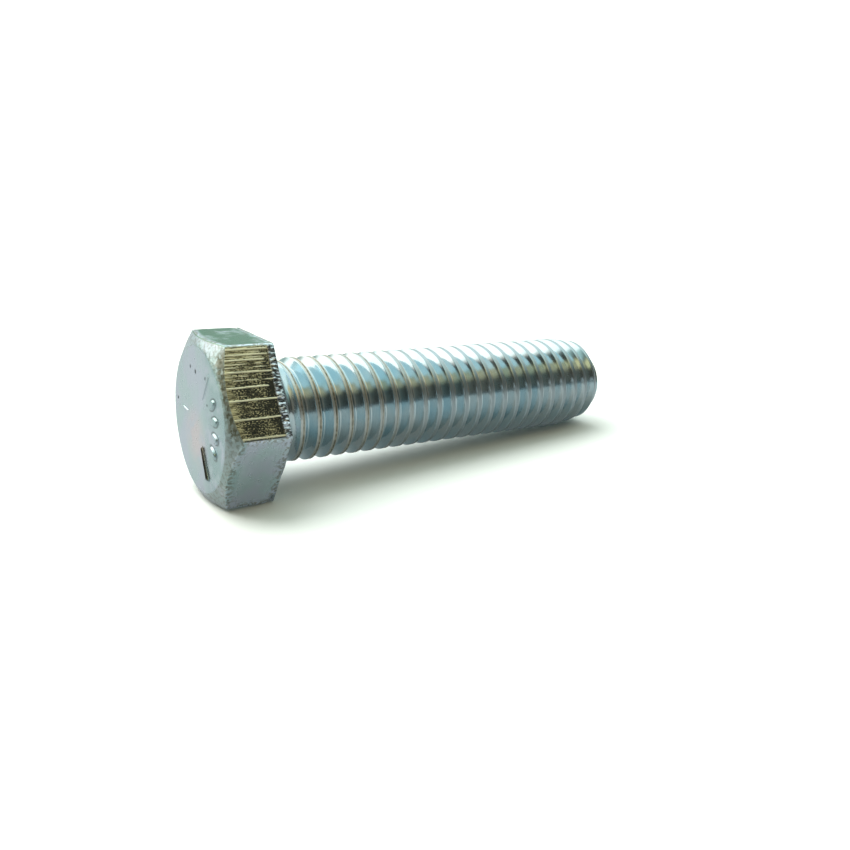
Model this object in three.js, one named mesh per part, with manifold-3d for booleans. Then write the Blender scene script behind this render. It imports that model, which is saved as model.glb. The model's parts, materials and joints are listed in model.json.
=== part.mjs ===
// A 3/8-16 x 1 1/2 in hex bolt, threaded along its whole shank and zinc plated.
// The real object is one forged piece of steel: a hex head with a 30 degree chamfer, a thin
// washer face under it, a short unthreaded neck, a rolled right-hand thread and a tapered point.
// Three raised radial lines on the head's face are the usual sign of a medium-strength bolt.
//
// Millimetres. The origin is the centre of the head's outer face, +X runs along the bolt to its
// point, and +Z stands out of the middle of one wrench flat.

import * as THREE from "three";
import { ParametricGeometry } from "three/addons/geometries/ParametricGeometry.js";
import { mergeGeometries, mergeVertices } from "three/addons/utils/BufferGeometryUtils.js";
import Module from "manifold-3d";

// ---- Driving dimensions ----

const INCH = 25.4;
const THREAD_DIAMETER = (3 / 8) * INCH;
const PITCH = INCH / 16;
const SHANK_LENGTH = 1.5 * INCH; // from the bearing face to the point
const ACROSS_FLATS = 14.15;
const HEAD_HEIGHT = 5.55; // from the outer face to the bearing face
const WASHER_FACE_THICKNESS = 0.35;
const WASHER_FACE_DIAMETER = 13.4;
const FACE_CIRCLE_DIAMETER = 12.8; // where the chamfer starts on the outer face
const CHAMFER_ANGLE = THREE.MathUtils.degToRad(30);

const FLANK_ANGLE = THREE.MathUtils.degToRad(30); // from the plane square to the bolt's axis
const THREAD_DEPTH = 0.83; // crest to root; the rolled crests aren't quite full
const CREST_WIDTH = 0.45;
const CREST_PHASE = 1.385; // pitches from the bearing face to the first crest, on the -Y side

const NECK_DIAMETER = 8.5; // the blank is rolled from its pitch diameter
const NECK_FILLET = 0.45;
const RUN_IN = [0.9, 2.5]; // pitches from the bearing face between which the crests grow to full height
const POINT_LENGTH = 4.0; // the crests get lower along this last stretch
const END_CHAMFER_LENGTH = 1.08;
const END_CHAMFER_DIAMETER = 8.84; // crest diameter where the steeper end chamfer starts
const END_DIAMETER = 7.4;

const GRADE_LINES = 3;
const GRADE_LINE_FIRST_ANGLE = THREE.MathUtils.degToRad(4); // from +Y towards +Z
const GRADE_LINE_INNER = 2.6; // distance of a line's inner end from the bolt's axis
const GRADE_LINE_OUTER = 5.5;
const GRADE_LINE_WIDTH = 0.5;
const GRADE_LINE_HEIGHT = 0.18;

const THREAD_SECTORS = 32;
const HEAD_SECTORS = 48;
const FILLET_STEPS = 4;
const OVERLAP = 0.5; // how far one solid runs into the next before they are joined
const SPARE_TURNS = 3; // turns of thread past each end of the shank, cut off again
const SAME_POINT = 1e-4; // vertices closer than this are one

const ZINC = { color: 0xa9b7bd, roughness: 0.32, metalness: 1.0 };

// ---- Solids from geometries, and back ----

const wasm = await Module();
wasm.setup();

// A closed geometry as a solid, with the vertices that its faces share made one.
function solidOf(geometry) {
  const bare = geometry.clone();
  bare.deleteAttribute("normal");
  bare.deleteAttribute("uv");
  const merged = mergeVertices(bare, SAME_POINT);
  return new wasm.Manifold(
    new wasm.Mesh({
      numProp: 3,
      vertProperties: merged.attributes.position.array,
      triVerts: new Uint32Array(merged.index.array),
    }),
  );
}

function geometryOf(solid) {
  const { vertProperties, triVerts } = solid.getMesh();
  const geometry = new THREE.BufferGeometry();
  geometry.setAttribute("position", new THREE.BufferAttribute(vertProperties, 3));
  geometry.setIndex(new THREE.BufferAttribute(triVerts, 1));
  geometry.computeVertexNormals();
  return geometry;
}

// ---- Shapes about the bolt's axis ----

// The closed profile of [x along the bolt, radius] points, turned about the X axis.
function turned(profile, sectors) {
  const points = profile.map(([x, radius]) => new THREE.Vector2(radius, x));
  const geometry = new THREE.LatheGeometry(points, sectors, Math.PI / 2);
  return solidOf(geometry.rotateZ(-Math.PI / 2));
}

// The hexagon that the wrench grips, with two of its flats square to Z.
function hexPrism(length) {
  const acrossCorners = ACROSS_FLATS / Math.cos(Math.PI / 6);
  const geometry = new THREE.CylinderGeometry(
    acrossCorners / 2, acrossCorners / 2, length, 6, 1, false, Math.PI / 2,
  );
  return solidOf(geometry.rotateZ(-Math.PI / 2).translate(length / 2, 0, 0));
}

// Everything inside the chamfer cone: it rounds off the hexagon's outer corners.
function chamferEnvelope() {
  const faceRadius = FACE_CIRCLE_DIAMETER / 2;
  const farRadius = ACROSS_FLATS;
  const farDepth = (farRadius - faceRadius) * Math.tan(CHAMFER_ANGLE);
  return turned(
    [[0, 0], [0, faceRadius], [farDepth, farRadius], [HEAD_HEIGHT, farRadius], [HEAD_HEIGHT, 0]],
    HEAD_SECTORS,
  );
}

function washerFace() {
  const radius = WASHER_FACE_DIAMETER / 2;
  const start = HEAD_HEIGHT - WASHER_FACE_THICKNESS - OVERLAP;
  return turned([[start, 0], [start, radius], [HEAD_HEIGHT, radius], [HEAD_HEIGHT, 0]], HEAD_SECTORS);
}

// One raised radial line on the head's outer face.
function gradeLine(index) {
  const length = GRADE_LINE_OUTER - GRADE_LINE_INNER;
  const depth = GRADE_LINE_HEIGHT + OVERLAP;
  const geometry = new THREE.BoxGeometry(depth, length, GRADE_LINE_WIDTH);
  geometry.translate(OVERLAP - depth / 2, GRADE_LINE_INNER + length / 2, 0);
  geometry.rotateX(GRADE_LINE_FIRST_ANGLE + (index * 2 * Math.PI) / GRADE_LINES);
  return solidOf(geometry);
}

function head() {
  let solid = hexPrism(HEAD_HEIGHT - WASHER_FACE_THICKNESS).intersect(chamferEnvelope());
  solid = solid.add(washerFace());
  for (let i = 0; i < GRADE_LINES; i++) solid = solid.add(gradeLine(i));
  return solid;
}

// ---- Shank ----

// The smooth neck, with a quarter-round fillet where it meets the bearing face.
function neck() {
  const radius = NECK_DIAMETER / 2;
  const profile = [[HEAD_HEIGHT - OVERLAP, 0], [HEAD_HEIGHT - OVERLAP, radius + NECK_FILLET]];
  for (let i = 0; i <= FILLET_STEPS; i++) {
    const angle = (i / FILLET_STEPS) * (Math.PI / 2);
    profile.push([
      HEAD_HEIGHT + NECK_FILLET * (1 - Math.cos(angle)),
      radius + NECK_FILLET * (1 - Math.sin(angle)),
    ]);
  }
  const end = HEAD_HEIGHT + RUN_IN[0] * PITCH;
  profile.push([end, radius], [end, 0]);
  return turned(profile, THREAD_SECTORS);
}

// One turn of the thread's outline: distance along the axis from the crest's middle, and radius.
function threadOutline() {
  const crestRadius = THREAD_DIAMETER / 2;
  const rootRadius = crestRadius - THREAD_DEPTH;
  const flankWidth = THREAD_DEPTH * Math.tan(FLANK_ANGLE);
  return [
    [-CREST_WIDTH / 2, crestRadius],
    [CREST_WIDTH / 2, crestRadius],
    [CREST_WIDTH / 2 + flankWidth, rootRadius],
    [PITCH - CREST_WIDTH / 2 - flankWidth, rootRadius],
  ];
}

// A right-hand screw longer than the shank. Its wall follows the helix, so the wall starts and
// ends in a step one pitch long on the +Y side, and a flat face closes each step.
function screw() {
  const outline = threadOutline();
  const turns = Math.ceil(SHANK_LENGTH / PITCH) + 2 * SPARE_TURNS;
  const halfTurn = 0.5; // from the -Y side back to the +Y side, where the wall starts
  const firstCrest = HEAD_HEIGHT + (CREST_PHASE - halfTurn - SPARE_TURNS) * PITCH;
  const wall = [];
  for (let turn = 0; turn < turns; turn++) {
    for (const [offset, radius] of outline) wall.push([firstCrest + turn * PITCH + offset, radius]);
  }
  const startOnAxis = [wall[0][0], 0];
  const endOnAxis = [wall.at(-1)[0] + PITCH, 0];
  const rows = [startOnAxis, ...wall, endOnAxis];
  const rowCount = rows.length - 1;
  const surface = new ParametricGeometry(
    (u, v, target) => {
      const [x, radius] = rows[Math.round(v * rowCount)];
      const angle = u * 2 * Math.PI;
      const advance = radius > 0 ? u * PITCH : 0;
      target.set(x + advance, radius * Math.cos(angle), radius * Math.sin(angle));
    },
    THREAD_SECTORS,
    rowCount,
  );
  const startStep = [startOnAxis, ...wall.slice(0, outline.length + 1)];
  const lastTurn = wall.slice(-outline.length - 1).map(([x, radius]) => [x + PITCH, radius]);
  const endStep = [...lastTurn, endOnAxis];
  return solidOf(mergeGeometries([surface, stepFace(startStep, false), stepFace(endStep, true)]));
}

// A flat face in the half plane of +Y, inside the outline of [x, radius] points.
function stepFace(outline, facesUp) {
  const shape = new THREE.Shape(outline.map(([x, radius]) => new THREE.Vector2(x, radius)));
  const geometry = new THREE.ShapeGeometry(shape);
  if (!facesUp) geometry.index.array.reverse();
  return geometry;
}

// The outside of the shank: lower crests at the neck, and a taper to the point.
function shankEnvelope() {
  const full = THREAD_DIAMETER / 2 + OVERLAP;
  const crest = THREAD_DIAMETER / 2;
  const end = HEAD_HEIGHT + SHANK_LENGTH;
  return turned(
    [
      [HEAD_HEIGHT - OVERLAP, 0],
      [HEAD_HEIGHT - OVERLAP, NECK_DIAMETER / 2],
      [HEAD_HEIGHT + RUN_IN[0] * PITCH, NECK_DIAMETER / 2],
      [HEAD_HEIGHT + RUN_IN[1] * PITCH, crest],
      [HEAD_HEIGHT + RUN_IN[1] * PITCH, full],
      [end - POINT_LENGTH, full],
      [end - POINT_LENGTH, crest],
      [end - END_CHAMFER_LENGTH, END_CHAMFER_DIAMETER / 2],
      [end, END_DIAMETER / 2],
      [end, 0],
    ],
    THREAD_SECTORS,
  );
}

// ---- The part ----

function hexBolt() {
  const solid = head().add(neck()).add(screw().intersect(shankEnvelope()));
  const mesh = new THREE.Mesh(geometryOf(solid), new THREE.MeshStandardMaterial(ZINC));
  mesh.name = "hex_bolt";
  return mesh;
}

const group = new THREE.Group();
group.add(hexBolt());

export default group;
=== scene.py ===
"""The looks of a zinc-plated hex bolt lying on a white table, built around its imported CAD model.

The bolt is one piece of steel, so the frame has one body. Its surface is two closed meshes that
overlap inside the metal, the head and the threaded shank, and together they stand for the node.
+X runs from the head's outer face to the point, and +Z out of a wrench flat. Lengths are metres,
but the thread's outline and the head are worked out in millimetres.
"""

import json
import math

import bmesh
import bpy
import numpy as np
from mathutils import Matrix, Vector


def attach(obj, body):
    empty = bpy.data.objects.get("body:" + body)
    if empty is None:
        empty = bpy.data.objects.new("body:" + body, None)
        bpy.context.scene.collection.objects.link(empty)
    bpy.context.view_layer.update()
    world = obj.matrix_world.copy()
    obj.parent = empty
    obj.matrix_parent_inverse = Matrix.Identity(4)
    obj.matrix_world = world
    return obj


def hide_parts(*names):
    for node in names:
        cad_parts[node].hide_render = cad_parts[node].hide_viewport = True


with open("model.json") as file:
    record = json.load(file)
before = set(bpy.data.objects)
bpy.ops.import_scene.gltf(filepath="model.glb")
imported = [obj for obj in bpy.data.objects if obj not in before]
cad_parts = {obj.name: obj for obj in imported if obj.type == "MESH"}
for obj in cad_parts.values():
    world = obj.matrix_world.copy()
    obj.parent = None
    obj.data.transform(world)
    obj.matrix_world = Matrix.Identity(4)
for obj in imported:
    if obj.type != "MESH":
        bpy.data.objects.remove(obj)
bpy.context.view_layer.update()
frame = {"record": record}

# ---- Sizes, from the frame ----

MM = 0.001
NODE = "hex_bolt"
MOUNTS = {mount["name"]: mount["pos_m"] for mount in frame["record"]["mounts"]}
HEAD_HEIGHT = MOUNTS["bearing_face"][0]
POINT_X = MOUNTS["point_face"][0]
SHANK_LENGTH = POINT_X - HEAD_HEIGHT
FLAT_DISTANCE = MOUNTS["wrench_flat_1"][2]  # from the axis to each wrench flat
THREAD_DIAMETER = SHANK_LENGTH / 4
PITCH = THREAD_DIAMETER / 6
CREST_RADIUS = THREAD_DIAMETER / 2
WASHER_THICKNESS = 0.35 * MM


# ---- Shader nodes ----


class Nodes:
    """Short ways to add and link shader nodes. A value is a number, a colour, a vector, a socket,
    or a node whose first output is meant."""

    def __init__(self, tree):
        self.tree = tree

    def add(self, kind, inputs=None, **settings):
        node = self.tree.nodes.new("ShaderNode" + kind)
        for name, value in settings.items():
            setattr(node, name, value)
        for name, value in (inputs or {}).items():
            self.put(value, node.inputs[name])
        return node

    def put(self, value, socket):
        if isinstance(value, bpy.types.NodeSocket):
            self.tree.links.new(value, socket)
        elif isinstance(value, bpy.types.Node):
            self.tree.links.new(value.outputs[0], socket)
        else:
            socket.default_value = value

    def chain(self, operation, first, *others):
        result = first
        for other in others:
            result = self.add("Math", {0: result, 1: other}, operation=operation).outputs[0]
        return result

    def times(self, *values):
        return self.chain("MULTIPLY", *values)

    def plus(self, *values):
        return self.chain("ADD", *values)

    def minus(self, first, second):
        return self.chain("SUBTRACT", first, second)

    def dot(self, vector, direction):
        return self.add("VectorMath", {0: vector, 1: direction}, operation="DOT_PRODUCT").outputs["Value"]

    def step(self, value, low, high):
        """0 at low and before it, 1 at high and beyond it, and smooth between."""
        ends = {"Value": value, "From Min": low, "From Max": high}
        return self.add("MapRange", ends, interpolation_type="SMOOTHSTEP").outputs["Result"]

    def mix(self, factor, a, b):
        """a where the factor is 0, and b where it is 1."""
        node = self.add("Mix", data_type="RGBA")
        self.put(factor, node.inputs[0])
        for value, index in ((a, 6), (b, 7)):  # the colour sockets
            self.put((*value, 1) if isinstance(value, tuple) else value, node.inputs[index])
        return node.outputs[2]


# ---- Camera ----

CAMERA_ANGLES = (-33.93, 15.94, 3.065)  # azimuth, elevation and lean, in degrees
CAMERA_PLACE = Vector((-23.08, -69.36, 20.67)) * MM
SENSOR_WIDTH = 36  # millimetres, like the lens
LENS = 36.1


def make_camera():
    """Looks at the bolt from the front left and above, close by, and leans a little."""
    azimuth, elevation, lean = (math.radians(angle) for angle in CAMERA_ANGLES)
    out = math.cos(elevation)
    back = Vector((math.sin(azimuth) * out, -math.cos(azimuth) * out, math.sin(elevation)))
    level = Vector((0, 0, 1)).cross(back).normalized()
    up = back.cross(level)
    right = math.cos(lean) * level + math.sin(lean) * up
    up = math.cos(lean) * up - math.sin(lean) * level
    camera = bpy.data.objects.new("camera", bpy.data.cameras.new("camera"))
    camera.data.sensor_width = SENSOR_WIDTH
    camera.data.lens = LENS
    camera.data.clip_start = 1 * MM
    place = Matrix((right, up, back)).transposed().to_4x4()
    place.translation = CAMERA_PLACE
    camera.matrix_world = place
    bpy.context.scene.collection.objects.link(camera)
    bpy.context.scene.camera = camera


# ---- Floor and key light ----

FLOOR_SIZE = 4.0
TOE_DISTANCE = 4.0 * MM  # from the point to the thread that rests on the table
FLOOR_SEEN = (0.87, 0.90, 0.87)  # the table's colour to the camera
FLOOR_LIT = (0.32, 0.32, 0.32)  # its colour in reflections
FLOOR_DIM = (0.05, 0.05, 0.05)  # its colour in reflections on the left, in front of the head: a painted shade
FLOOR_GLOW = (0.11, 0.125, 0.12)  # the light that it gives off in reflections
DIM_X = (0.0, -50 * MM)  # where the table starts to dim, and where it is fully dim
DIM_Y = (20 * MM, -5 * MM)
KEY_ANGLE = 50
KEY_STRENGTH = 2.4
KEY_FROM = Vector((-0.30, 0.38, 0.87))


def floor_material():
    """White to the camera. In reflections it is a darker grey that glows a little, and on the
    left, in front of the head, it is darker still: a painted shade."""
    material = bpy.data.materials.new("white_table")
    material.use_nodes = True
    material.node_tree.nodes.clear()
    n = Nodes(material.node_tree)
    seen = n.add("LightPath").outputs["Is Camera Ray"]
    x, y = n.add("SeparateXYZ", {0: n.add("TexCoord").outputs["Object"]}).outputs[:2]
    # The painted shade on the table, which only reflections show.
    dim = n.times(n.step(x, *DIM_X), n.step(y, *DIM_Y))
    colour = n.mix(seen, n.mix(dim, FLOOR_LIT, FLOOR_DIM), FLOOR_SEEN)
    glow = n.mix(seen, FLOOR_GLOW, (0.0, 0.0, 0.0))
    parts = {0: n.add("BsdfDiffuse", {"Color": colour}), 1: n.add("Emission", {"Color": glow})}
    n.put(n.add("AddShader", parts), n.add("OutputMaterial").inputs["Surface"])
    return material


def make_floor():
    """The table. The bolt rests on an edge of its head and on its last threads, so the table isn't
    parallel to the bolt's axis."""
    heel = Vector((HEAD_HEIGHT - WASHER_THICKNESS, 0, -FLAT_DISTANCE))
    toe = Vector((POINT_X - TOE_DISTANCE, 0, -CREST_RADIUS))
    slope = math.atan2(toe.z - heel.z, toe.x - heel.x)
    bpy.ops.mesh.primitive_grid_add(x_subdivisions=4, y_subdivisions=4, size=FLOOR_SIZE)
    floor = bpy.context.object
    floor.name = "floor"
    floor.rotation_euler = (0, -slope, 0)
    floor.location = heel
    floor.data.materials.append(floor_material())


def make_key():
    """A wide soft light, high behind the bolt, which the metal doesn't mirror."""
    sun = bpy.data.objects.new("key", bpy.data.lights.new("key", "SUN"))
    sun.data.energy = KEY_STRENGTH
    sun.data.angle = math.radians(KEY_ANGLE)
    sun.visible_glossy = False
    sun.rotation_mode = "QUATERNION"
    sun.rotation_quaternion = KEY_FROM.to_track_quat("Z", "Y")
    bpy.context.scene.collection.objects.link(sun)


# ---- Room ----

BLACK = (0.06, 0.06, 0.05)
DARK = (0.19, 0.175, 0.14)
LOW_FRONT = (0.18, 0.19, 0.185)
LAMP = (0.86, 0.70, 0.42)
TEAL = (0.66, 0.88, 0.80)
BLUE = (0.98, 1.13, 1.04)
YELLOW = (0.90, 0.83, 0.45)
WALL = (0.50, 0.62, 0.55)
PALE = (1.45, 1.62, 1.60)
WINDOW = (2.0, 1.95, 1.8)
SKY = (1.10, 1.27, 1.23)
GROUND = (0.5, 0.55, 0.55)
BACKDROP = (1.3, 1.3, 1.3)  # what the camera sees past the table's edge


def make_world():
    """The room that the metal reflects. It is dark in front, with a tan lamp glow on the front
    left, teal to the right and on the far left, and one small yellow patch. A pale wall stands
    behind on the right and a white window behind on the left, under a pale blue ceiling."""
    world = bpy.data.worlds.new("studio")
    bpy.context.scene.world = world
    world.use_nodes = True
    world.node_tree.nodes.clear()
    n = Nodes(world.node_tree)
    direction = n.add("TexCoord").outputs["Generated"]
    height = n.add("SeparateXYZ", {0: direction}).outputs[2]
    level = n.add("VectorMath", {0: direction, 1: (1, 1, 0)}, operation="MULTIPLY")
    level = n.add("VectorMath", {0: level}, operation="NORMALIZE")

    def above(none, full):
        """From 0 at the elevation none to 1 at the elevation full, in degrees. Either may be the
        higher of the two."""
        return n.step(height, math.sin(math.radians(none)), math.sin(math.radians(full)))

    def towards(azimuth, full, none):
        """1 within full degrees of the azimuth, 0 beyond none. 0 is +X and 90 is +Y."""
        way = (math.cos(math.radians(azimuth)), math.sin(math.radians(azimuth)), 0)
        return n.step(n.dot(level, way), math.cos(math.radians(none)), math.cos(math.radians(full)))

    def paint(under, colour, *shares):
        """The colour over what is under it, by the product of the shares."""
        return n.mix(n.times(*shares), under, colour)

    lamp_side = towards(-105, 36, 54)
    front = paint(BLACK, DARK, towards(-103, 14, 42))
    front = paint(front, LOW_FRONT, above(12, 0), towards(-85, 42, 62))
    front = paint(front, LAMP, above(32, 51), lamp_side)
    front = paint(front, TEAL, above(12, 40), towards(50, 45, 100))
    front = paint(front, BLUE, n.mix(lamp_side, above(38, 52), above(60, 68)))
    front = paint(front, YELLOW, towards(-166, 5, 12), above(13, 19), above(34, 27))
    front = paint(front, TEAL, above(28, 46), towards(180, 14, 30))
    wall = paint(WALL, PALE, above(17, 27))
    window = paint(WALL, WINDOW, above(10, 18))
    window = paint(window, SKY, above(42, 56))
    room = paint(front, wall, towards(45, 22, 42))
    room = paint(room, window, towards(125, 32, 46))
    room = paint(room, SKY, above(64, 74))
    room = paint(room, GROUND, above(0, -2))
    seen = n.add("LightPath").outputs["Is Camera Ray"]
    background = n.add("Background", {"Color": n.mix(seen, room, BACKDROP)})
    n.put(background, n.add("OutputWorld").inputs["Surface"])


# ---- Meshes ----

NOISE_TABLE = 4096  # a power of two


def smooth_step(low, high, value):
    """0 at low and before it, 1 at high and beyond it, and smooth between."""
    share = np.clip((value - low) / (high - low), 0, 1)
    return share * share * (3 - 2 * share)


def smooth_min(a, b, radius):
    """The smaller of a and b, with the crease between them rounded."""
    share = np.clip(0.5 + 0.5 * (b - a) / radius, 0, 1)
    return b * (1 - share) + a * share - radius * share * (1 - share)


def noise(seed, *axes):
    """Smooth random values from -1 to 1 at the points that the axes give. A lump is about one unit
    across, so an axis is divided by the size that a lump should have. Adding to an axis only moves
    the pattern."""
    rng = np.random.default_rng(seed)
    table = rng.uniform(-1, 1, NOISE_TABLE)
    steps = rng.integers(1, NOISE_TABLE, len(axes)) | 1
    cells = [np.floor(axis).astype(np.int64) for axis in axes]
    blends = [smooth_step(0, 1, axis - cell) for axis, cell in zip(axes, cells)]
    total = 0
    for corner in range(2 ** len(axes)):
        weight, key = 1.0, 0
        for i, (cell, blend) in enumerate(zip(cells, blends)):
            far = corner >> i & 1
            weight = weight * (blend if far else 1 - blend)
            key = key * 31 + (cell + far) * steps[i]  # scatters the cells over the table
            key ^= key >> 7
        total = total + weight * table[key & NOISE_TABLE - 1]
    return total


def strips(index, beside):
    """Four-sided faces between each row of points and the next. The second array gives each
    point's neighbour in the next column."""
    return np.stack([index[:-1], index[1:], beside[1:], beside[:-1]], -1).reshape(-1, 4).tolist()


def make_piece(name, points, faces, marks, merge):
    """A closed mesh of points and faces. The marks are values per point that the materials read,
    and points closer than merge become one."""
    mesh = bpy.data.meshes.new(name)
    mesh.from_pydata(points.tolist(), [], faces)
    for mark_name, values in marks.items():
        attribute = mesh.attributes.new(mark_name, "FLOAT", "POINT")
        attribute.data.foreach_set("value", values.astype(np.float32))
    bm = bmesh.new()
    bm.from_mesh(mesh)
    bmesh.ops.remove_doubles(bm, verts=bm.verts, dist=merge)
    bmesh.ops.dissolve_degenerate(bm, edges=bm.edges, dist=merge / 10)
    bmesh.ops.recalc_face_normals(bm, faces=bm.faces)
    bm.to_mesh(mesh)
    bm.free()
    mesh.polygons.foreach_set("use_smooth", [True] * len(mesh.polygons))
    piece = bpy.data.objects.new(name, mesh)
    bpy.context.scene.collection.objects.link(piece)
    return piece


# ---- Shank ----

# Half of the thread's outline over one pitch: distance along the axis from the crest's middle, and
# depth below the crest, in millimetres. The flanks are at 60 degrees to each other. The flat crest
# has points enough for its seam, and its edges and the root are round.
FLANK_RISE = math.tan(math.radians(60))
CREST = [(x, 0) for x in (0, 0.045, 0.085, 0.125, 0.165)]
CREST_EDGE = [(0.205, 0.01), (0.235, 0.045)]
FLANK = [(x, 0.07 + (x - 0.25) * FLANK_RISE) for x in (0.26, 0.29, 0.63)]
ROOT_EDGE = [(0.67, 0.775), (0.725, 0.82)]
ROOT = (PITCH / 2 / MM, 0.835)
HALF_OUTLINE = CREST + CREST_EDGE + FLANK + ROOT_EDGE
THREAD_OUTLINE = [(-x, depth) for x, depth in HALF_OUTLINE[:0:-1]] + HALF_OUTLINE + [ROOT]
FIRST_CREST = 0.885  # pitches from the bearing face to the crest on the +Y side

CREST_HALF_WIDTH = (0.24 * MM, 0.17 * MM)  # from its middle, where its finish starts and is full
SEAM_DEPTH = 0.10 * MM  # rolling leaves a seam along the crest, deepest near the head
SEAM_PLACE = 0.085 * MM  # from the crest's middle
SEAM_HALF_WIDTH = (0.11 * MM, 0.04 * MM)  # from its middle, where it starts and is full
SEAM_RAGGEDNESS = 0.45
SEAM_GRAIN = 0.05 * MM
WORN_X = (HEAD_HEIGHT + 0.50 * SHANK_LENGTH, HEAD_HEIGHT + 0.10 * SHANK_LENGTH)  # start and full

NECK_RADIUS = 4.33 * MM
FILLET = 0.45 * MM
CRESTS_GROW = (0.35 * PITCH, 1.9 * PITCH)  # from the bearing face
GROOVE_GROWS = (0.02 * MM, 0.55 * MM)  # from the point
TAPER_X = (-4.2, -1.08, 0.0)  # millimetres from the point, where the crests' radius turns
TAPER_RADII = (CREST_RADIUS, 0.4638 * THREAD_DIAMETER, 0.3886 * THREAD_DIAMETER)
TAPER_SHALLOWING = 0.35  # how much of its depth the groove loses by the point

SHANK_COLUMNS = 156
SHANK_START = HEAD_HEIGHT - 0.6 * MM  # inside the head
LEAD_IN = 0.3 * PITCH  # the sheet runs on past the shank's two ends while it closes to the axis
LEAD_OUT = 0.9 * PITCH


def shank_radius(along, depth):
    """The radius this far along the bolt, where a thread of full height would have this depth."""
    envelope = np.interp((along - POINT_X) / MM, TAPER_X, TAPER_RADII)
    taper = CREST_RADIUS - envelope
    radius = envelope - depth * (1 - TAPER_SHALLOWING * taper / taper.max())
    from_bearing = along - HEAD_HEIGHT
    radius = NECK_RADIUS + (radius - NECK_RADIUS) * smooth_step(*CRESTS_GROW, from_bearing)
    inside = np.clip(FILLET - from_bearing, 0, FILLET)
    fillet = NECK_RADIUS + FILLET - np.sqrt(np.maximum(FILLET**2 - inside**2, 0))
    return np.where(from_bearing < FILLET, fillet, radius)


def shank():
    """The neck and the thread as one sheet wound in a helix. Each row of points follows the thread
    for a turn, and then goes on as the row one turn further along."""
    ends = (SHANK_START - LEAD_IN, POINT_X + LEAD_OUT)
    first, last = ((end - HEAD_HEIGHT) / PITCH - FIRST_CREST for end in ends)
    turns = np.arange(math.floor(first) - 1, math.ceil(last) + 1)
    offset, depth = (MM * np.array(column) for column in zip(*THREAD_OUTLINE))
    row_start = (HEAD_HEIGHT + PITCH * (FIRST_CREST + turns[:, None]) + offset).ravel()
    angle = np.arange(SHANK_COLUMNS) / SHANK_COLUMNS * 2 * math.pi
    along = row_start[:, None] + PITCH * angle / (2 * math.pi)

    def on_each_turn(values):
        return np.tile(values, len(turns))[:, None]

    crest = on_each_turn(smooth_step(*CREST_HALF_WIDTH, abs(offset)))
    seam = on_each_turn(smooth_step(*SEAM_HALF_WIDTH, abs(offset - SEAM_PLACE)))
    headward = smooth_step(*WORN_X, along)
    ragged = 1 + SEAM_RAGGEDNESS * noise(71, along / SEAM_GRAIN, 0 * along)
    seam = seam * (0.15 + 0.85 * headward) * ragged
    depth = on_each_turn(depth) + SEAM_DEPTH * seam
    radius = shank_radius(along, depth * smooth_step(*GROOVE_GROWS, POINT_X - along))

    # Past the two ends, the sheet closes to the axis as flat caps.
    past_start = (SHANK_START - along) / LEAD_IN
    past_point = (along - POINT_X) / LEAD_OUT
    cap = np.clip(np.where(along < SHANK_START, past_start, past_point), 0, 1)
    radius = radius * (1 - cap)
    x = np.clip(along, SHANK_START, POINT_X)
    points = np.stack([x, radius * np.cos(angle), radius * np.sin(angle)], -1).reshape(-1, 3)

    per_turn = len(THREAD_OUTLINE)
    index = np.arange(along.size).reshape(along.shape)
    beside = np.empty_like(index)
    beside[:, :-1] = index[:, 1:]
    beside[:-per_turn, -1] = index[per_turn:, 0]
    beside[-per_turn:, -1] = index[-1, 0]
    shown = smooth_step(*CRESTS_GROW, along - HEAD_HEIGHT) * (cap == 0)
    marks = {"crest": crest * shown, "seam": seam * shown, "headward": headward}
    marks = {mark_name: values.ravel() for mark_name, values in marks.items()}
    return make_piece("threaded_shank", points, strips(index, beside), marks, merge=0.004 * MM)


# ---- Head, in millimetres ----

# Angles go about the axis from +Y towards +Z. The corners F, A, B, C, D and E are at 0, 60, 120,
# 180, 240 and 300 degrees, and each flat has the number of the corner that it starts from.
HEAD_COLUMNS = 720
ANGLE = np.arange(HEAD_COLUMNS) / HEAD_COLUMNS * 2 * math.pi
DEGREES = np.degrees(ANGLE)
FROM_MIDDLE = DEGREES % 60 - 30  # degrees from the middle of the flat
FLAT_SHARE = 0.5 + np.tan(np.radians(FROM_MIDDLE)) / (2 * math.tan(math.pi / 6))  # 0 to 1 across it
FLAT_NUMBER = (DEGREES // 60).astype(int)

FLAT = FLAT_DISTANCE / MM
FLAT_WIDTH = 2 * FLAT / math.sqrt(3)
BACK = (HEAD_HEIGHT - WASHER_THICKNESS) / MM
BEARING = HEAD_HEIGHT / MM
WASHER_RADIUS = 6.7
WASHER_EDGE = 0.04
FACE_RADIUS = 0.906 * FLAT
FACE_EDGE = 0.07  # how round the edge between face and chamfer is
RELIEF_END = (6.35, 6.0)  # the face's marks fade out between these distances from the axis
CHAMFER_ANGLE = math.radians(30)
OFF_CENTRE = 0.13  # the chamfer was trimmed this far towards the middle of the flat from C to D
OFF_CENTRE_ANGLE = math.radians(210)
CORNER_CUT = 0.04  # how much the hexagon's long edges are rounded off
CORNER_ROUNDING = 0.09
CORNER_WEAR = (0.10, 0.10, 0.03, 0.06, 0.38, 0.20)  # how far each corner's back end is rounded off
WORN_ANGLE = 9  # degrees each side of the corner
WORN_LENGTH = 1.1
BACK_EDGE_DEPTH = 0.05  # how far all of the flats' back edge is rounded off
BACK_EDGE_LENGTH = 0.22

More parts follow.
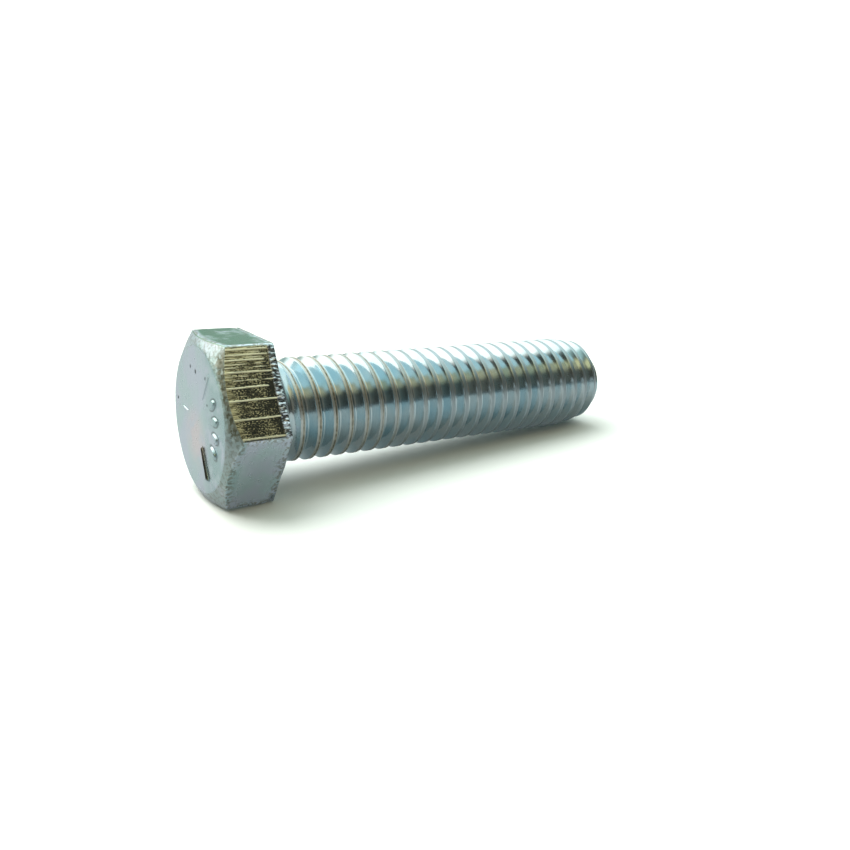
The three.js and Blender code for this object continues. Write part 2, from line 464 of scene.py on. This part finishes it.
SHORN_FLAT = 2  # from corner B to corner C
BOLD_STREAKS = (0.045, 0.105, 0.16, 0.285, 0.44, 0.575, 0.765, 0.965)  # of the way across
FAINT_STREAKS = (0.075, 0.132, 0.20, 0.235, 0.325, 0.37)
BOLD_HALF_WIDTH = 0.11
FAINT_HALF_WIDTH = 0.08
STREAK_TOP = 0.015  # half the width of its flat top
STREAK_RISE = 0.045
STREAK_END = (4.65, 4.4)  # along the bolt, give or take half a millimetre
BURR_START = (0.845, 0.87)  # of the way along the flat

GRADE_LINES = ((4, 0.10, 0.0), (124, 0.06, 0.2), (244, 0.20, 1.0))  # angle, height, how black: how much painted shade it has
LINE_START = (2.3, 2.6)  # the distances from the axis over which the lines rise and fall
LINE_END = (5.65, 5.35)
LINE_SHADE_END = (5.35, 5.2)
LINE_WEAR = (4.6, 3.0)
LINE_SPREAD = 0.035  # half the width of its flat top, for each millimetre outwards
LINE_BEVEL = 0.03  # the width of its sides at its start, and more of it for each millimetre
PIP_ANGLES = (150, 169, 188, 207)
PIP_DISTANCE = 4.3
PIP_HALF_LENGTH = 0.82  # outwards
PIP_HALF_WIDTH = 0.46
PIP_RISE = 0.19
PITS = ((0.4, 4.1, 0.26), (-2.4, 1.8, 0.15), (-2.0, 4.0, 0.17), (1.7, 4.3, 0.2), (5.3, 0.7, 0.20))
PIT_DEPTH = 0.06


def turned(y, z, degrees):
    """How far y, z is from the axis in the direction of the angle, and how far to its side."""
    cosine, sine = math.cos(math.radians(degrees)), math.sin(math.radians(degrees))
    return y * cosine + z * sine, z * cosine - y * sine


def grade_line(y, z, degrees, rise, black):
    """The height of a radial line that widens outwards, and the painted shade over it, which makes
    it dark. One that has no painted shade is worn away towards its outer end."""
    along, across = turned(y, z, degrees)
    half = LINE_SPREAD * np.maximum(along - LINE_START[1], 0)
    bevel = LINE_BEVEL + LINE_BEVEL * np.maximum(along - LINE_START[0], 0)
    started = smooth_step(*LINE_START, along)
    worn = 1 if black else smooth_step(*LINE_WEAR, along)
    top = smooth_step(half + bevel, half, abs(across))
    # Painted shade over the line's top and the inner part of its sides.
    painted_shade_sides = smooth_step(half + bevel, half + 0.3 * bevel, abs(across))
    height = rise * worn * started * smooth_step(*LINE_END, along) * top
    return height, black * started * smooth_step(*LINE_SHADE_END, along) * painted_shade_sides


def pip(y, z, degrees):
    """The height of a plain oval pip, and the painted shade round its foot."""
    along, across = turned(y, z, degrees)
    far = np.hypot((along - PIP_DISTANCE) / PIP_HALF_LENGTH, across / PIP_HALF_WIDTH)
    stain = 0.6 * smooth_step(1.25, 1.05, far) * smooth_step(0.8, 1.0, far)
    return PIP_RISE * smooth_step(1.0, 0.60, far), stain


def pit(y, z, pit_y, pit_z, size):
    """The height of a small round pit, which is below zero, and how dark its inside is painted."""
    far = np.hypot(y - pit_y, z - pit_z) / size
    return -PIT_DEPTH * smooth_step(1.0, 0.2, far), 0.85 * smooth_step(1.0, 0.5, far)


def face_relief(y, z):
    """Height of the outer face's marks above the face, and how dark the face is painted: painted
    shade on the grade lines and round the pips' feet, and dark spots in the pits. There are
    three grade lines, four plain oval pips and a few pits."""
    height = 0.012 * noise(3, y / 1.6 + 40, z / 1.6 + 40) + 0.003 * noise(4, y / 0.45 + 90, z / 0.45 + 90)
    stain = 0
    reliefs = [grade_line(y, z, *line) for line in GRADE_LINES]
    reliefs += [pip(y, z, degrees) for degrees in PIP_ANGLES]
    reliefs += [pit(y, z, *place) for place in PITS]
    for rise, black in reliefs:
        height = height + rise
        stain = np.maximum(stain, black)
    return height, stain


def chamfer_relief(x, y, z):
    """Lumps on the rough chamfer."""
    coarse = 0.022 * noise(11, x / 0.5 + 30, y / 0.5 + 30, z / 0.5 + 30)
    return coarse + 0.014 * noise(12, x / 0.2 + 70, y / 0.2 + 70, z / 0.2 + 70)


def shear_marks(x, across):
    """How far each point of the shorn flat is up one of its bright streaks, which run along the
    bolt, and the height of the flat's streaks and fine lines."""
    streaks = 0
    for i, place in enumerate(BOLD_STREAKS + FAINT_STREAKS):
        bold = place in BOLD_STREAKS
        wander = 0.02 * noise(50 + i, x / 1.5 + 7, 0 * x)
        reach = smooth_step(*STREAK_END, x + 0.5 * noise(80 + i, 0 * x + 3, 0 * x))
        strength = 1 if bold else 0.5 + 0.4 * noise(110 + i, x / 0.7, 0 * x)
        half_width = BOLD_HALF_WIDTH if bold else FAINT_HALF_WIDTH
        from_middle = abs(across - place * FLAT_WIDTH + wander)
        streaks = streaks + strength * reach * smooth_step(half_width, STREAK_TOP, from_middle)
    fine = noise(31, x / 2.5 + 5, across / 0.14 + 5) + noise(32, x / 0.3 + 5, across / 0.12 + 5)
    return streaks, STREAK_RISE * streaks + 0.006 * fine


def burr_relief(x):
    """The torn teeth that the trimming tool left along the back of the shorn flat."""
    teeth = noise(41, FLAT_SHARE * 34 + 3, (x + FLAT_SHARE) * 0.9)
    return 0.05 + 0.085 * (teeth + 0.6 * noise(42, FLAT_SHARE * 62 + 3, x * 3.0))


def back_edge_wear(x):
    """How much the flats' back edge is rounded off, more at the worn corners."""
    wear = BACK_EDGE_DEPTH * smooth_step(BACK - BACK_EDGE_LENGTH, BACK, x) ** 2
    for i, depth in enumerate(CORNER_WEAR):
        from_corner = abs((DEGREES - 60 * i + 180) % 360 - 180)
        near = smooth_step(WORN_ANGLE, 0, from_corner)
        wear = wear + depth * near * smooth_step(BACK - WORN_LENGTH, BACK, x) ** 2
    return wear


def chamfer_depth(radius, face_radius):
    """Distance behind the outer face, with the edge between face and chamfer rounded."""

    def bent(drop):
        """0 well before the edge and the drop well past it, on one smooth curve."""
        return 0.5 * (drop + np.sqrt(drop**2 + FACE_EDGE**2))

    slope = math.tan(CHAMFER_ANGLE)
    return bent((radius - face_radius) * slope) - bent(-face_radius * slope)


def head_rings(face_radius, hexagon, shoulder):
    """Rings of points about the axis, from the outer face's middle to the bearing face's: the zone
    of each ring, its place along the bolt and its radius. They lie closest where the marks are."""
    rings = []

    def ring(zone, x, radius):
        rings.append((zone, x + 0 * ANGLE, radius + 0 * ANGLE))

    for share in [*np.linspace(0, 0.33, 8)[1:-1], *np.linspace(0.33, 0.99, 44)]:
        ring("face", chamfer_depth(face_radius * share, face_radius), face_radius * share)
    for share in [0.0, 0.06, *np.linspace(0, 1, 11)[1:-1], 0.97]:
        radius = face_radius + (hexagon - face_radius) * share
        ring("chamfer", chamfer_depth(radius, face_radius), radius)
    for share in [0.012, 0.03, *np.linspace(0, 0.84, 26)[1:], *np.linspace(0.84, 0.985, 15)[1:]]:
        ring("flat", shoulder + (BACK - shoulder) * share, hexagon)
    for share in [0.012, *np.linspace(0, 1, 5)[1:]]:
        ring("back", BACK, hexagon + (WASHER_RADIUS - hexagon) * share)
    ring("back", BEARING - WASHER_EDGE, WASHER_RADIUS)
    ring("back", BEARING, WASHER_RADIUS - WASHER_EDGE)
    for share in np.linspace(0, 1, 6)[1:-1]:
        ring("back", BEARING, WASHER_RADIUS * (1 - share))
    zones, x, radius = zip(*rings)
    return np.array(zones)[:, None], np.array(x), np.array(radius)


def head():
    """The head as rings of points, moved by the relief of the face, the chamfer and the flats."""
    face_radius = FACE_RADIUS + OFF_CENTRE * np.cos(ANGLE - OFF_CENTRE_ANGLE)
    corner_radius = np.full(HEAD_COLUMNS, FLAT / math.cos(math.pi / 6) - CORNER_CUT)
    hexagon = smooth_min(FLAT / np.cos(np.radians(FROM_MIDDLE)), corner_radius, CORNER_ROUNDING)
    shoulder = chamfer_depth(hexagon, face_radius)
    zones, x, radius = head_rings(face_radius, hexagon, shoulder)
    face, chamfer, flats = (zones == zone for zone in ("face", "chamfer", "flat"))
    y, z = radius * np.cos(ANGLE), radius * np.sin(ANGLE)

    relief, stain = face_relief(y, z)
    x = x - np.where(face, relief, 0) * smooth_step(*RELIEF_END, radius)

    # The chamfer is roughest from the shorn flat round to the bottom.
    rough = smooth_step(100, 130, DEGREES) * smooth_step(290, 250, DEGREES) + 0.25
    lump = np.where(chamfer, chamfer_relief(x, y, z) * rough, 0)
    x = x - lump * math.cos(CHAMFER_ANGLE)
    push = lump * math.sin(CHAMFER_ANGLE)

    # The flats have slow waves, and one of them has shear marks and a burr.
    along = (x - shoulder) / (BACK - shoulder)
    across = FLAT_SHARE * FLAT_WIDTH
    waves = np.array([noise(20 + i, x / 1.7 + 9, across / 2.3 + 9) for i in range(6)])
    relief = 0.010 * np.choose(FLAT_NUMBER, waves)
    streak, sheared = shear_marks(x, across)
    on_shorn = flats & (FLAT_NUMBER == SHORN_FLAT)
    relief = relief + np.where(on_shorn, sheared, 0)
    relief = relief * smooth_step(0, 0.04, FLAT_SHARE) * smooth_step(1, 0.96, FLAT_SHARE)
    shorn = on_shorn * smooth_step(0, 0.02, FLAT_SHARE) * smooth_step(1, 0.985, FLAT_SHARE)
    burr = smooth_step(*BURR_START, along) * shorn
    push = push + np.where(flats, relief + burr * burr_relief(x) - back_edge_wear(x), 0)

    # What the material needs to know, such as how near an edge each point is.
    from_side = np.minimum(FLAT_SHARE, 1 - FLAT_SHARE) * FLAT_WIDTH
    from_end = np.minimum(abs(x - shoulder), abs(BACK - x))
    edge = np.where(flats, smooth_step(1.2, 0.05, np.minimum(from_side * 1.4, from_end)), 0)
    beside_shorn = smooth_step(118, 126, DEGREES) * smooth_step(186, 172, DEGREES)
    beside_shorn = beside_shorn * smooth_step(0.1, 0.5, x / shoulder)
    edge = edge + np.where(chamfer, 0.6 + 0.8 * beside_shorn, 0)
    marks = {
        "stain": np.where(face, stain, 0),
        "streak": np.where(on_shorn, streak, 0),
        "shorn": shorn * smooth_step(0.88, 0.85, along),
        "burr": burr,
        "edge": edge * (1 - shorn),
        "chamfer": np.where(chamfer, rough, 0),
    }

    radius = radius + push
    rings = np.stack([x, radius * np.cos(ANGLE), radius * np.sin(ANGLE)], -1).reshape(-1, 3)
    points = np.concatenate([rings, [[0, 0, 0], [BEARING, 0, 0]]]) * MM
    marks = {mark_name: np.append(values.ravel(), [0, 0]) for mark_name, values in marks.items()}
    index = np.arange(x.size).reshape(x.shape)
    beside = np.roll(index, -1, 1)
    face_centre, back_centre = len(rings), len(rings) + 1
    faces = strips(index, beside)
    faces += [[face_centre, a, b] for a, b in zip(index[0].tolist(), beside[0].tolist())]
    faces += [[back_centre, b, a] for a, b in zip(index[-1].tolist(), beside[-1].tolist())]
    return make_piece("bolt_head", points, faces, marks, merge=0.001 * MM)


# ---- Zinc on the shank ----

ZINC_DEEP = (0.48, 0.63, 0.69)
ZINC_LIGHT = (0.58, 0.67, 0.70)
CREST_GREY = ((0.35, 0.43, 0.46), (0.45, 0.47, 0.42))  # towards the point, and near the head
CREST_PALE = ((0.43, 0.51, 0.54), (0.68, 0.70, 0.66))
SEAM_BROWNS = ((0.23, 0.215, 0.165), (0.47, 0.45, 0.37))
SPECK = (0.22, 0.22, 0.19)


def new_material(name):
    """A metal with its nodes and its shader, which the caller fills in."""
    material = bpy.data.materials.new(name)
    material.use_nodes = True
    shader = material.node_tree.nodes["Principled BSDF"]
    shader.inputs["Metallic"].default_value = 1.0
    return material, Nodes(material.node_tree), shader


def field(n, position, size, detail=2.0, stretch=(1, 1, 1)):
    """Noise from 0 to 1 over the object, with spots of the given size in millimetres."""
    scaled = n.add("VectorMath", {0: position, 1: stretch}, operation="MULTIPLY")
    return n.add("TexNoise", {"Vector": scaled, "Scale": 1 / (size * MM), "Detail": detail}).outputs["Fac"]


def mark(n, name):
    """A mark that the mesh carries."""
    return n.add("Attribute", attribute_name=name).outputs["Fac"]


def shank_zinc():
    """Bright zinc with a blue passivation. Near the head the crests are paler, with brown seams."""
    material, n, shader = new_material("zinc_thread")
    position = n.add("TexCoord").outputs["Object"]
    crest, seam, headward = (mark(n, name) for name in ("crest", "seam", "headward"))
    colour = n.mix(n.step(field(n, position, 3.0), 0.35, 0.65), ZINC_DEEP, ZINC_LIGHT)
    ridge = n.mix(field(n, position, 0.35), n.mix(headward, *CREST_GREY), n.mix(headward, *CREST_PALE))
    colour = n.mix(crest, colour, ridge)
    brown = n.mix(n.step(field(n, position, 0.3, 3.0), 0.35, 0.65), *SEAM_BROWNS)
    colour = n.mix(n.times(n.step(seam, 0.15, 0.6), headward), colour, brown)
    specks = n.step(field(n, position, 0.12, 4.0), 0.67, 0.75)
    colour = n.mix(n.times(specks, 0.4), colour, SPECK)
    n.put(colour, shader.inputs["Base Color"])

    rough = n.plus(n.times(field(n, position, 0.8), 0.10), 0.09)
    n.put(n.plus(rough, n.times(crest, 0.22)), shader.inputs["Roughness"])
    bump = n.add("Bump", {"Height": field(n, position, 0.25, 3.0), "Strength": 0.12, "Distance": 0.02 * MM})
    n.put(bump, shader.inputs["Normal"])
    return material


# ---- Zinc on the head ----

LILAC = (0.72, 0.79, 0.90)
SEA_BLUE = (0.66, 0.81, 0.84)
PINK_CAST = (0.92, 0.80, 0.83)
PINK_CENTRE = (0, 0.6 * MM, -1.8 * MM)
TEAL_CAST = (0.43, 0.62, 0.62)
# Painted reflection: the top flat is painted a darker green for what it mirrors.
PAINTED_GREEN_REFLECTION = (0.10, 0.27, 0.18)
GREEN_Z = (FLAT_DISTANCE - 0.125 * MM, FLAT_DISTANCE - 0.055 * MM)  # only the top flat is so high
CHAMFER_GREY = (0.48, 0.54, 0.49)
CHAMFER_DARK = (0.26, 0.28, 0.22)  # on the chamfer beside the shorn flat
OLIVES = ((0.15, 0.15, 0.10), (0.33, 0.34, 0.28))
# The colour of the painted shade on the face's marks and of the dark spots in its pits.
PAINTED_SHADE_AND_SPOTS = (0.035, 0.035, 0.03)
# The shorn flat's colours: its grain, partly painted as a warm reflection, with painted highlights on the
# streaks and painted dark reflection in the stipple.
BRASS_AND_PAINTED_REFLECTION = ((0.15, 0.14, 0.085), (0.70, 0.66, 0.41))
STIPPLE_AND_PAINTED_DARK_REFLECTION = (0.052, 0.055, 0.045)
STREAK_AND_PAINTED_HIGHLIGHT = (0.95, 0.93, 0.68)
BURR_COLOURS = ((0.04, 0.04, 0.035), (0.62, 0.70, 0.76))
ACROSS_SHORN = (0, -math.sin(math.radians(30)), -math.cos(math.radians(30)))  # from B to C


def passivation(n, position, edge):
    """Blue and lilac zinc, with a pink cast low in the middle of the face and teal towards its -Y
    side, and a painted reflection, darker and green, on the top flat."""
    x, y, z = n.add("SeparateXYZ", {0: position}).outputs
    colour = n.mix(n.step(field(n, position, 2.6), 0.38, 0.62), LILAC, SEA_BLUE)
    spot = n.add("VectorMath", {0: position, 1: PINK_CENTRE}, operation="DISTANCE").outputs["Value"]
    pink = n.times(n.step(spot, 3.4 * MM, 0.6 * MM), n.step(field(n, position, 1.5), 0.25, 0.5))
    colour = n.mix(n.times(pink, 0.8), colour, PINK_CAST)
    teal = n.times(n.step(y, -0.5 * MM, -4 * MM), n.step(field(n, position, 1.8), 0.3, 0.55))
    colour = n.mix(n.times(teal, n.step(x, 1.5 * MM, 1.0 * MM), 0.65), colour, TEAL_CAST)
    # The painted green reflection on the top flat, fading towards its edges.
    green = n.times(n.step(z, *GREEN_Z), n.step(field(n, position, 1.6), 0.15, 0.5))
    return n.mix(n.times(green, n.step(edge, 1.0, 0.55)), colour, PAINTED_GREEN_REFLECTION)


def worn_edges(n, position, colour, edge, chamfer):
    """The colour with a greyer chamfer and mottled olive edges over it."""
    blotch = n.step(n.plus(field(n, position, 0.3, 5.0), n.times(edge, 0.1)), 0.53, 0.65)
    olive = n.mix(n.step(field(n, position, 0.5), 0.35, 0.65), *OLIVES)
    colour = n.mix(n.times(chamfer, 0.4), colour, CHAMFER_GREY)
    colour = n.mix(n.times(n.step(edge, 1.0, 1.3), 0.6), colour, CHAMFER_DARK)
    return n.mix(n.times(edge, blotch, 0.7), colour, olive)


def shorn_grain_and_painted_reflection(n, x, across, lay, lines, grain, streak):
    """Brass-coloured lines and bright streaks, with black stipple between them: the shorn grain, partly
    painted as a warm reflection, with painted highlights on the streaks and painted dark reflection in
    the stipple. There is more stipple towards the back, and towards corner C."""
    inward = n.step(x, 0.4 * MM, 1.4 * MM)
    middle = n.times(n.step(across, -4.6 * MM, 0.5 * MM), 0.15)
    rear = n.times(n.step(x, 3.4 * MM, 4.2 * MM), 0.09)
    density = n.times(inward, n.plus(middle, 0.05, rear))
    patches = n.times(field(n, lay, 0.9, 2.0, (0.6, 1, 1)), 0.3)
    # Painted warm reflection in the brass, painted dark reflection in the stipple, painted highlights on
    # the streaks.
    colour = n.mix(n.step(lines, 0.40, 0.60), *BRASS_AND_PAINTED_REFLECTION)
    colour = n.mix(n.step(n.plus(grain, density, patches), 0.77, 0.84), colour, STIPPLE_AND_PAINTED_DARK_REFLECTION)
    return n.mix(n.times(n.step(streak, 0.25, 0.6), 0.95), colour, STREAK_AND_PAINTED_HIGHLIGHT)


def head_zinc():
    """Satin zinc with faint casts of colour, a painted green reflection on the top flat, olive edges,
    painted shade on the face's marks, and one flat shorn to a brassy grain that is partly painted
    reflection.
    """
    material, n, shader = new_material("zinc_head")
    position = n.add("TexCoord").outputs["Object"]
    shorn, streak, burr = (mark(n, name) for name in ("shorn", "streak", "burr"))
    edge, chamfer, stain = (mark(n, name) for name in ("edge", "chamfer", "stain"))

    x = n.add("SeparateXYZ", {0: position}).outputs[0]
    across = n.dot(position, ACROSS_SHORN)
    lay = n.add("CombineXYZ", {0: x, 1: across, 2: 0.0})
    lines = field(n, lay, 0.09, 2.0, (0.08, 1, 1))
    grain = field(n, lay, 0.09, 3.0, (0.55, 1, 1))
    comb = n.step(field(n, lay, 0.18, 3.0, (0.4, 1, 1)), 0.42, 0.56)

    colour = worn_edges(n, position, passivation(n, position, edge), edge, chamfer)
    # Painted shade on the grade lines and round the pips' feet, and dark spots in the pits.
    colour = n.mix(stain, colour, PAINTED_SHADE_AND_SPOTS)
    # The shorn flat: its grain with painted reflections and highlights.
    colour = n.mix(shorn, colour, shorn_grain_and_painted_reflection(n, x, across, lay, lines, grain, streak))
    colour = n.mix(n.times(burr, 0.9), colour, n.mix(comb, *BURR_COLOURS))
    n.put(colour, shader.inputs["Base Color"])

    rough = n.plus(n.times(field(n, position, 0.9), 0.16), 0.17, n.times(edge, 0.14))
    n.put(n.plus(rough, n.times(shorn, 0.24)), shader.inputs["Roughness"])

    pits = n.step(field(n, position, 0.3, 4.0), 0.34, 0.24)
    height = n.minus(field(n, position, 0.22, 4.0), pits)
    height = n.mix(shorn, height, n.plus(n.times(lines, 0.4), grain))
    strength = n.plus(n.times(n.plus(edge, chamfer, n.times(shorn, 2.0)), 0.35), 0.08)
    bump = n.add("Bump", {"Height": height, "Distance": 0.03 * MM, "Strength": strength})
    n.put(bump, shader.inputs["Normal"])
    return material


# ---- The scene ----

make_camera()
make_floor()
make_key()
make_world()

for piece, material in ((head(), head_zinc()), (shank(), shank_zinc())):
    piece.data.materials.append(material)
    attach(piece, "root")
    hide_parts(NODE)

bpy.context.scene.view_settings.view_transform = "Standard"
